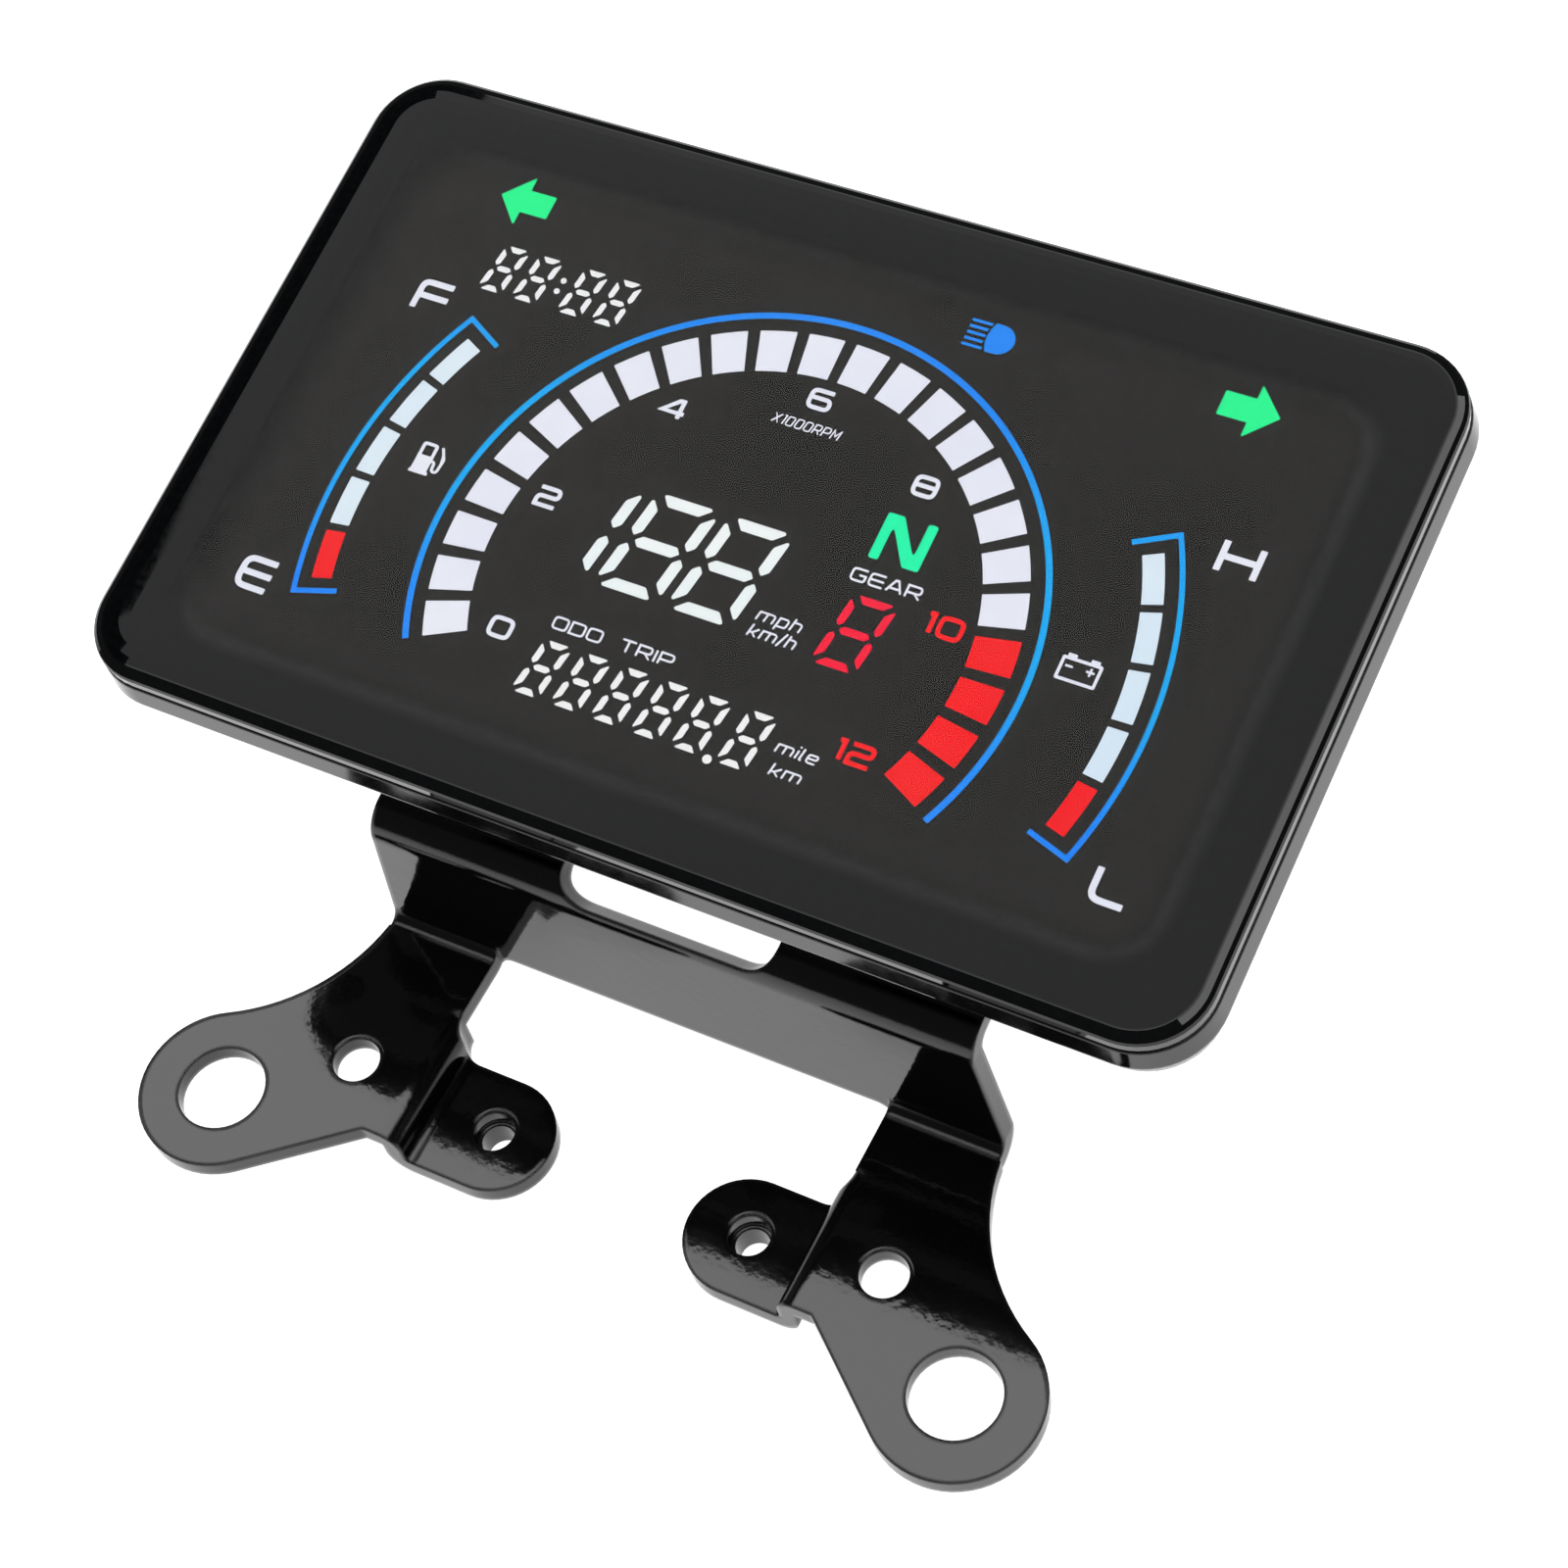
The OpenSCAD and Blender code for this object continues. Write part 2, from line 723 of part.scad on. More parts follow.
front_lens();
lens_tape();
optical_adhesive();
lcd_panel();
front_case();
diffuser_film();
backlight_frame();
backlight_leds();
zebra_connectors();
main_pcb();
microcontroller();
lcd_drivers();
power_module();
filter_capacitors();
harness_header();
tact_switches();
pcb_screws();
case_seal();
rear_cover();
cover_screws();
threaded_inserts();
cable_gland();
vent_plug();
mode_key();
set_key();
key_seals();
bracket();
rubber_grommets();
steel_collars();
bracket_washers();
bracket_screws();
weld_nuts();
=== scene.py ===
"""Looks of the motorcycle instrument cluster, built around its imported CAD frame."""

import math

import bmesh
import bpy
from mathutils import Matrix, Vector


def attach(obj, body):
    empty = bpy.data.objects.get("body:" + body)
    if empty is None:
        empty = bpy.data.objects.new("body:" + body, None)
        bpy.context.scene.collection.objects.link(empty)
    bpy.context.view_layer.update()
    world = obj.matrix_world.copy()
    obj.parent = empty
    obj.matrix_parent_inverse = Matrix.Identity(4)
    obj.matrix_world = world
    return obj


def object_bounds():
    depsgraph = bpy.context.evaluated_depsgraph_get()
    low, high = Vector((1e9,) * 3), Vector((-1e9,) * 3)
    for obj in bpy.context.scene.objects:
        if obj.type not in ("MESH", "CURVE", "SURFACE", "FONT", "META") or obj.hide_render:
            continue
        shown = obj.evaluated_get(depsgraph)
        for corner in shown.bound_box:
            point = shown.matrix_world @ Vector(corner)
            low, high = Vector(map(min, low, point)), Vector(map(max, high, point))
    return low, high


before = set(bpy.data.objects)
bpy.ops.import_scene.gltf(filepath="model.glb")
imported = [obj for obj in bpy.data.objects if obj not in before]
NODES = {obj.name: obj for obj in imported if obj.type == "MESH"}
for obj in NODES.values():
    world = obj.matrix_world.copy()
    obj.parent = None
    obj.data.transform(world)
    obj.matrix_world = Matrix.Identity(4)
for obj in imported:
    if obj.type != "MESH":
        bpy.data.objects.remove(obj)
cad_lo, cad_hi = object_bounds()
MM = 0.001

# ---------- the head's frame: X right, Y up along the display, Z out of its face ----------

TILT = math.radians(9.5)
HEAD_ORIGIN = Vector((0, 78.2, 69.6)) * MM
HEAD = Matrix.Translation(HEAD_ORIGIN) @ Matrix.Rotation(TILT, 4, "X") @ Matrix.Scale(MM, 4)
PRINT_FRONT = 3.3  # depths of the lit plates behind the lens face, in millimetres
PRINT_BACK = 3.46
WINDOW = (73.0, 41.0, 8.0)  # half width, half height and corner radius of the clear window
LENS_IOR = 1.2  # a coated cover: it mirrors about a quarter of what bare plastic does
PRINT_IOR = 1.175  # the printed border behind the same coat
RIM_IOR = 1.42  # the uncoated rim of the lens
RIM_START, RIM_END = -0.3, -0.42  # depths between which the coat ends, in millimetres
LENS_CLARITY = 0.92  # share of light the clear window passes
LENS_SHEEN = 0.03  # light the window adds by reflection
PANEL_GLOW = (0.0125, 0.0113, 0.0104, 1)
UNLIT_SEGMENT = (0.002, 0.002, 0.002, 1)


# ---------- node helpers ----------


class Nodes:
    """Short names for building one material's node tree."""

    def __init__(self, name):
        self.mat = bpy.data.materials.new(name)
        self.mat.use_nodes = True
        self.tree = self.mat.node_tree
        self.tree.nodes.clear()
        self.out = self.tree.nodes.new("ShaderNodeOutputMaterial")
        self.coords = self.tree.nodes.new("ShaderNodeTexCoord").outputs["Object"]

    def link(self, source, target):
        self.tree.links.new(source, target)

    def put(self, socket, value):
        if isinstance(value, bpy.types.NodeSocket):
            self.link(value, socket)
        else:
            socket.default_value = value

    def node(self, kind, settings=(), **inputs):
        made = self.tree.nodes.new(kind)
        for key, value in dict(settings).items():
            setattr(made, key, value)
        for key, value in inputs.items():
            self.put(made.inputs[key.replace("_", " ")], value)
        return made

    def math(self, operation, *values):
        made = self.node("ShaderNodeMath", {"operation": operation})
        for socket, value in zip(made.inputs, values):
            self.put(socket, value)
        return made.outputs[0]

    def vector(self, operation, *values):
        made = self.node("ShaderNodeVectorMath", {"operation": operation})
        for socket, value in zip(made.inputs, values):
            self.put(socket, value)
        return made.outputs["Value" if operation == "LENGTH" else "Vector"]

    def noise(self, scale, detail=3.0, roughness=0.55, coords=None):
        made = self.node("ShaderNodeTexNoise", Scale=scale, Detail=detail, Roughness=roughness)
        self.link(coords or self.coords, made.inputs["Vector"])
        return made.outputs["Fac"]

    def ramp(self, value, low, high, to_low=0.0, to_high=1.0, smooth=False):
        made = self.node("ShaderNodeMapRange")
        if smooth:
            made.interpolation_type = "SMOOTHSTEP"
        limits = {"From Min": low, "From Max": high, "To Min": to_low, "To Max": to_high}
        for key, number in limits.items():
            made.inputs[key].default_value = number
        self.put(made.inputs["Value"], value)
        return made.outputs["Result"]

    def mix(self, factor, a, b):
        made = self.tree.nodes.new("ShaderNodeMix")
        made.data_type = "RGBA"
        self.put(made.inputs["Factor"], factor)
        for name, colour in (("A", a), ("B", b)):
            socket = [s for s in made.inputs if s.name == name and s.type == "RGBA"][0]
            self.put(socket, colour if isinstance(colour, bpy.types.NodeSocket) else (*colour, 1.0))
        return [s for s in made.outputs if s.type == "RGBA"][0]

    def bump(self, height, distance, normal=None):
        made = self.node("ShaderNodeBump", Strength=1.0, Distance=distance)
        self.link(height, made.inputs["Height"])
        if normal is not None:
            self.link(normal, made.inputs["Normal"])
        return made.outputs["Normal"]

    def rounded(self, radius):
        """Normals that turn smoothly over a solid's edges, as a thick coat of paint does."""
        return self.node("ShaderNodeBevel", {"samples": 6}, Radius=radius).outputs[0]

    def head_coords(self):
        """Object coordinates carried to the head's frame, in millimetres."""
        inverse = Matrix.Rotation(-TILT, 4, "X")
        shift = -(inverse @ HEAD_ORIGIN) / MM
        made = self.node("ShaderNodeMapping", {"vector_type": "POINT"})
        made.inputs["Scale"].default_value = (1 / MM,) * 3
        made.inputs["Rotation"].default_value = (-TILT, 0, 0)
        made.inputs["Location"].default_value = shift
        self.link(self.coords, made.inputs["Vector"])
        return made.outputs[0]

    def box_distance(self, half_w, half_h, radius):
        """Signed distance to a rounded box in the head's plane, in millimetres."""
        flat = self.vector("MULTIPLY", self.head_coords(), (1, 1, 0))
        out = self.vector(
            "SUBTRACT", self.vector("ABSOLUTE", flat), (half_w - radius, half_h - radius, 0)
        )
        outside = self.vector("LENGTH", self.vector("MAXIMUM", out, (0, 0, 0)))
        split = self.node("ShaderNodeSeparateXYZ")
        self.link(out, split.inputs[0])
        inside = self.math("MINIMUM", self.math("MAXIMUM", split.outputs[0], split.outputs[1]), 0.0)
        return self.math("SUBTRACT", self.math("ADD", outside, inside), radius)

    def surface(self, shader):
        self.link(shader, self.out.inputs["Surface"])
        return self.mat


def principled(n, colour, roughness, normal=None, **constants):
    made = n.tree.nodes.new("ShaderNodeBsdfPrincipled")
    n.put(made.inputs["Base Color"], colour)
    n.put(made.inputs["Roughness"], roughness)
    if normal is not None:
        n.link(normal, made.inputs["Normal"])
    for key, value in constants.items():
        made.inputs[key.replace("_", " ")].default_value = value
    return made.outputs[0]


def finish(name, dark, light, rough, grain, depth, edge=None, **constants):
    """A solid finish: two close colours, a roughness range and a surface grain of one depth.
    grain is the grain's scale per metre, depth its height and edge the edges' rounding in metres."""
    n = Nodes(name)
    broad = n.noise(grain * 0.12, 2)
    close = n.noise(grain, 4)
    colour = n.mix(n.ramp(broad, 0.35, 0.65), dark, light)
    colour = n.mix(n.ramp(close, 0.55, 0.8, 0.0, 0.25), colour, light)
    roughness = n.ramp(n.noise(grain * 0.5, 3), 0.3, 0.7, *rough)
    normal = n.bump(close, depth, normal=n.rounded(edge) if edge else None)
    return n.surface(principled(n, colour, roughness, normal, **constants))


def brushed(name, dark, light, rough, lines, depth):
    """Machined or plated metal with fine turning lines across the head's depth."""
    n = Nodes(name)
    stretch = n.node("ShaderNodeMapping", {"vector_type": "POINT"})
    stretch.inputs["Scale"].default_value = (1, 1, 6)
    n.link(n.coords, stretch.inputs["Vector"])
    streak = n.noise(lines, 4, coords=stretch.outputs[0])
    colour = n.mix(n.ramp(streak, 0.3, 0.7), dark, light)
    roughness = n.ramp(n.noise(lines * 0.3, 3), 0.3, 0.7, *rough)
    return n.surface(principled(n, colour, roughness, n.bump(streak, depth), Metallic=1.0))


# ---------- finishes ----------


def lens_material():
    """Smoked gloss cover: clear over the window, printed black round it, uncoated at its rim."""
    n = Nodes("smoked_lens")
    edge = n.box_distance(*WINDOW)
    wobble = n.ramp(n.noise(60, 2), 0, 1, -0.4, 0.4)
    clear = n.ramp(n.math("ADD", edge, wobble), -2.6, 2.2, 1.0, 0.0, smooth=True)
    haze = n.noise(900, 3)
    roughness = n.ramp(haze, 0.3, 0.75, 0.015, 0.045)
    ripple = n.bump(n.noise(30, 1), 0.00003)
    ink = n.mix(n.ramp(haze, 0.4, 0.7), (0.0009, 0.0011, 0.0013), (0.0017, 0.0021, 0.0025))
    coated = principled(n, ink, roughness, ripple, IOR=PRINT_IOR)
    bare = principled(n, ink, roughness, ripple, IOR=RIM_IOR)
    depth = n.node("ShaderNodeSeparateXYZ")
    n.link(n.head_coords(), depth.inputs[0])
    printed = n.node("ShaderNodeMixShader")
    n.link(n.ramp(depth.outputs[2], RIM_END, RIM_START), printed.inputs[0])
    n.link(bare, printed.inputs[1])
    n.link(coated, printed.inputs[2])
    through = n.node("ShaderNodeBsdfTransparent")
    through.inputs["Color"].default_value = (LENS_CLARITY,) * 3 + (1,)
    fresnel = n.node("ShaderNodeFresnel", IOR=LENS_IOR)
    inner = n.node("ShaderNodeNewGeometry").outputs["Backfacing"]
    share = n.math("MULTIPLY", fresnel.outputs[0], n.math("SUBTRACT", 1.0, inner))
    gloss = n.node("ShaderNodeBsdfGlossy", Roughness=0.02)
    n.link(ripple, fresnel.inputs["Normal"])
    n.link(ripple, gloss.inputs["Normal"])
    pane = n.node("ShaderNodeMixShader")
    n.link(share, pane.inputs[0])
    n.link(through.outputs[0], pane.inputs[1])
    n.link(gloss.outputs[0], pane.inputs[2])
    whole = n.node("ShaderNodeMixShader")
    n.link(clear, whole.inputs[0])
    n.link(printed.outputs[0], whole.inputs[1])
    n.link(pane.outputs[0], whole.inputs[2])
    return n.surface(whole.outputs[0])


def adhesive_material():
    n = Nodes("clear_bond")
    tint = n.mix(n.noise(200, 2), (0.985, 0.985, 0.98), (1.0, 1.0, 1.0))
    through = n.node("ShaderNodeBsdfTransparent")
    n.link(tint, through.inputs["Color"])
    return n.surface(through.outputs[0])


def lcd_material():
    """Dark panel glass with a faint glow that fades towards the window's edge."""
    n = Nodes("panel_glass")
    edge = n.box_distance(*WINDOW)
    glow = n.ramp(edge, -5.0, 1.0, 1.0, 0.0, smooth=True)
    patch = n.ramp(n.noise(18, 2), 0.3, 0.7, 0.94, 1.06)
    level = n.math("MULTIPLY", glow, patch)
    colour = n.mix(n.noise(700, 3), (0.001, 0.001, 0.0012), (0.002, 0.002, 0.0022))
    made = n.tree.nodes.new("ShaderNodeBsdfPrincipled")
    n.link(colour, made.inputs["Base Color"])
    n.link(n.ramp(n.noise(500, 2), 0.3, 0.7, 0.45, 0.6), made.inputs["Roughness"])
    made.inputs["Specular IOR Level"].default_value = 0.0
    made.inputs["Emission Color"].default_value = PANEL_GLOW
    n.link(level, made.inputs["Emission Strength"])
    return n.surface(made.outputs[0])


def lit_material(name, colour, warm, spread=None):
    """A lit segment: its colour drifts to the warm one, and with spread it changes with height."""
    n = Nodes(name)
    drift = n.noise(28, 2)
    tone = n.mix(n.ramp(drift, 0.35, 0.65), colour, warm)
    if spread is not None:
        height = n.node("ShaderNodeSeparateXYZ")
        n.link(n.head_coords(), height.inputs[0])
        wave = n.math("ABSOLUTE", height.outputs[1])
        tone = n.mix(n.ramp(wave, 4, 30, smooth=True), spread, tone)
    level = n.ramp(n.noise(420, 3), 0.3, 0.7, 0.98, 1.02)
    made = n.tree.nodes.new("ShaderNodeBsdfPrincipled")
    made.inputs["Base Color"].default_value = UNLIT_SEGMENT
    made.inputs["Roughness"].default_value = 0.6
    made.inputs["Specular IOR Level"].default_value = 0.0
    n.link(tone, made.inputs["Emission Color"])
    n.link(level, made.inputs["Emission Strength"])
    return n.surface(made.outputs[0])


def lit(r, g, b):
    """The glow that shows as the given display values, 0 to 255, through the sheen of the lens."""
    plain = (((c / 255 + 0.055) / 1.055) ** 2.4 for c in (r, g, b))
    return tuple(max(c - LENS_SHEEN, 0.0) / LENS_CLARITY for c in plain)


def powder_coat():
    """Gloss black powder coat on steel with orange peel."""
    n = Nodes("powder_coat")
    peel = n.noise(520, 2, 0.5)
    sag = n.noise(110, 1)
    grit = n.noise(2600, 2)
    colour = n.mix(n.ramp(grit, 0.35, 0.75), (0.0016, 0.0017, 0.0019), (0.0032, 0.0033, 0.0036))
    roughness = n.ramp(n.noise(150, 3), 0.3, 0.7, 0.05, 0.08)
    coat = n.bump(sag, 0.00002, normal=n.rounded(0.001))
    normal = n.bump(grit, 0.0000004, normal=n.bump(peel, 0.000016, normal=coat))
    return n.surface(principled(n, colour, roughness, normal, IOR=1.5))


def board():
    """Solder mask with copper tracks showing through as lighter green."""
    n = Nodes("solder_mask")
    flat = n.vector("MULTIPLY", n.head_coords(), (1, 1, 0))
    cells = n.node("ShaderNodeTexVoronoi", {"distance": "MANHATTAN", "feature": "F1"})
    cells.inputs["Scale"].default_value = 0.35
    n.link(flat, cells.inputs["Vector"])
    tracks = n.ramp(
        n.math("FRACT", n.math("MULTIPLY", cells.outputs["Distance"], 3.0)), 0.42, 0.5
    )
    colour = n.mix(tracks, (0.006, 0.07, 0.03), (0.012, 0.12, 0.05))
    normal = n.bump(tracks, 0.00003)
    return n.surface(principled(n, colour, 0.35, normal, Coat_Weight=0.4, Coat_Roughness=0.15))


GLOSS = dict(IOR=1.5, edge=0.0004)
FINISHES = {
    "front_lens": lens_material(),
    "optical_adhesive": adhesive_material(),
    "lcd_panel": lcd_material(),
    "front_case": finish(
        "gloss_case", (0.002, 0.002, 0.0022), (0.0035, 0.0035, 0.0038), (0.06, 0.1),
        900, 0.0000012, **GLOSS,
    ),
    "rear_cover": finish(
        "cover_plastic", (0.003, 0.003, 0.0033), (0.0055, 0.0055, 0.006), (0.1, 0.17),
        1100, 0.000002, **GLOSS,
    ),
    "bracket": powder_coat(),
    "weld_nuts": finish(
        "coated_nut", (0.004, 0.004, 0.0045), (0.008, 0.008, 0.0085), (0.12, 0.22),
        900, 0.000004, **GLOSS,
    ),
    "lens_tape": finish(
        "foam_tape", (0.004, 0.004, 0.004), (0.01, 0.01, 0.01), (0.7, 0.9), 2500, 0.00002
    ),
    "diffuser_film": finish(
        "diffuser", (0.75, 0.77, 0.78), (0.85, 0.86, 0.87), (0.35, 0.5), 1500, 0.000004
    ),
    "backlight_frame": finish(
        "white_frame", (0.78, 0.78, 0.76), (0.86, 0.86, 0.84), (0.35, 0.5), 700, 0.000006
    ),
    "backlight_leds": finish(
        "led_package", (0.75, 0.62, 0.25), (0.85, 0.75, 0.4), (0.2, 0.35), 1500, 0.000004
    ),
    "zebra_connectors": finish(
        "zebra_rubber", (0.5, 0.1, 0.12), (0.62, 0.18, 0.2), (0.5, 0.7), 2000, 0.00001
    ),
    "main_pcb": board(),
    "microcontroller": finish(
        "chip_epoxy", (0.012, 0.012, 0.013), (0.022, 0.022, 0.024), (0.45, 0.6), 1800, 0.000006
    ),
    "lcd_drivers": finish(
        "driver_epoxy", (0.012, 0.012, 0.013), (0.02, 0.02, 0.022), (0.45, 0.6), 1600, 0.000006
    ),
    "power_module": finish(
        "ferrite", (0.05, 0.05, 0.055), (0.08, 0.08, 0.085), (0.5, 0.7), 1500, 0.00001
    ),
    "filter_capacitors": brushed(
        "capacitor_can", (0.5, 0.5, 0.52), (0.7, 0.7, 0.72), (0.25, 0.4), 2500, 0.000002
    ),
    "harness_header": finish(
        "header_nylon", (0.7, 0.68, 0.6), (0.8, 0.78, 0.7), (0.4, 0.55), 900, 0.000006
    ),
    "tact_switches": finish(
        "switch_body", (0.015, 0.015, 0.016), (0.03, 0.03, 0.032), (0.35, 0.5), 1500, 0.000005
    ),
    "pcb_screws": brushed(
        "zinc_screw", (0.5, 0.5, 0.5), (0.72, 0.73, 0.74), (0.25, 0.4), 3000, 0.000002
    ),
    "case_seal": finish(
        "seal_silicone", (0.12, 0.12, 0.13), (0.18, 0.18, 0.19), (0.45, 0.6), 1200, 0.000008
    ),
    "cover_screws": brushed(
        "black_zinc", (0.012, 0.012, 0.014), (0.03, 0.03, 0.034), (0.25, 0.4), 2600, 0.000003
    ),
    "threaded_inserts": brushed(
        "insert_brass", (0.62, 0.43, 0.14), (0.8, 0.6, 0.25), (0.2, 0.35), 2600, 0.000004
    ),
    "cable_gland": finish(
        "gland_rubber", (0.012, 0.012, 0.012), (0.022, 0.022, 0.022), (0.55, 0.75), 1600, 0.00001
    ),
    "vent_plug": finish(
        "vent_plastic", (0.02, 0.02, 0.021), (0.035, 0.035, 0.036), (0.4, 0.55), 1500, 0.000006
    ),
    "mode_key": finish(
        "key_plastic", (0.014, 0.014, 0.015), (0.026, 0.026, 0.028), (0.35, 0.5), 1800, 0.000012
    ),
    "key_seals": finish(
        "key_rubber", (0.01, 0.01, 0.01), (0.02, 0.02, 0.02), (0.6, 0.8), 1600, 0.00001
    ),
    "rubber_grommets": finish(
        "damper_rubber", (0.01, 0.01, 0.01), (0.02, 0.02, 0.02), (0.55, 0.75), 1300, 0.00002
    ),
    "steel_collars": brushed(
        "collar_steel", (0.42, 0.42, 0.43), (0.62, 0.62, 0.63), (0.25, 0.4), 2600, 0.000003
    ),
    "bracket_washers": brushed(
        "washer_zinc", (0.5, 0.5, 0.51), (0.7, 0.71, 0.72), (0.22, 0.38), 1800, 0.000004
    ),
    "bracket_screws": brushed(
        "bolt_oxide", (0.01, 0.01, 0.012), (0.028, 0.028, 0.032), (0.25, 0.42), 2200, 0.000004
    ),
}
FINISHES["set_key"] = FINISHES["mode_key"]
for name, material in FINISHES.items():
    node = NODES[name]
    for slot in node.material_slots:
        slot.material = material


# ---------- edges of the carried-over CAD nodes ----------


SOFT_SEGMENTS = 2
SOFT_ANGLE = math.radians(32.0)  # edges that turn more than this are rounded


def soften(name, width):
    """Rounds a node's sharp edges by a small width, with its flat faces kept whole."""
    node = NODES[name]
    weld = node.modifiers.new("weld", "WELD")
    weld.merge_threshold = 0.000002
    flat = node.modifiers.new("flat", "DECIMATE")
    flat.decimate_type = "DISSOLVE"
    flat.angle_limit = math.radians(0.4)
    bevel = node.modifiers.new("edges", "BEVEL")
    bevel.width = width
    bevel.segments = SOFT_SEGMENTS
    bevel.limit_method = "ANGLE"
    bevel.angle_limit = SOFT_ANGLE
    bevel.use_clamp_overlap = True
    bevel.harden_normals = False
    normals = node.modifiers.new("normals", "WEIGHTED_NORMAL")
    normals.weight = 60
    normals.keep_sharp = False


for name, width in (
    ("bracket", 0.00035), ("weld_nuts", 0.0003), ("rear_cover", 0.00025), ("front_case", 0.0002)
):
    soften(name, width)


# ---------- flat shapes for the display ----------


def corner(a, b, c, radius, steps=4):
    """Points of a rounded corner at b between a and c."""
    a, b, c = Vector(a), Vector(b), Vector(c)
    before, after = (a - b), (c - b)
    la, lc = before.length, after.length
    if radius <= 0 or la < 1e-6 or lc < 1e-6:
        return [b]
    before.normalize()
    after.normalize()
    turn = math.pi - before.angle(after)
    if turn < math.radians(2):
        return [b]
    reach = min(radius * math.tan(turn / 2), 0.48 * la, 0.48 * lc)
    start, end = b + before * reach, b + after * reach
    return [
        (1 - t) ** 2 * start + 2 * t * (1 - t) * b + t * t * end
        for t in (k / steps for k in range(steps + 1))
    ]


def smooth_outline(points, radius, steps):
    """A closed outline with its corners rounded."""
    count = len(points)
    made = []
    for k in range(count):
        made += corner(points[k - 1], points[k], points[(k + 1) % count], radius, steps)
    return made


def smooth_path(points, radius, closed):
    """A pen path with its corners rounded. A third number 0 keeps a corner square."""
    flat = [Vector(p[:2]) for p in points]
    count = len(flat)
    made = []
    for k, p in enumerate(points):
        sharp = len(p) > 2 or (not closed and k in (0, count - 1))
        made += [flat[k]] if sharp else corner(flat[k - 1], flat[k], flat[(k + 1) % count], radius)
    return made


def pen(points, width, radius, closed):
    """Left and right edges of a stroke of constant width along a path."""
    path = smooth_path(points, radius, closed)
    count = len(path)
    left, right = [], []
    for k, p in enumerate(path):
        before = path[k - 1] if closed or k else None
        after = path[(k + 1) % count] if closed or k < count - 1 else None
        d1 = (p - before).normalized() if before is not None else (after - p).normalized()
        d2 = (after - p).normalized() if after is not None else d1
        n1, n2 = Vector((-d1.y, d1.x)), Vector((-d2.y, d2.x))
        across = n1 + n2
        across = across.normalized() if across.length > 1e-6 else n1
        reach = min(1 / max(across.dot(n1), 0.3), 2.2)
        left.append(p + across * reach * width / 2)
        right.append(p - across * reach * width / 2)
    return left, right, closed


def clip(points, a, b, least):
    """The part of a convex outline where a*x + b*y is at least the given value."""
    made = []
    for k, p in enumerate(points):
        q = points[(k + 1) % len(points)]
        dp, dq = a * p[0] + b * p[1] - least, a * q[0] + b * q[1] - least
        if dp >= 0:
            made.append(p)
        if dp * dq < 0:
            t = dp / (dp - dq)
            made.append((p[0] + (q[0] - p[0]) * t, p[1] + (q[1] - p[1]) * t))
    return made


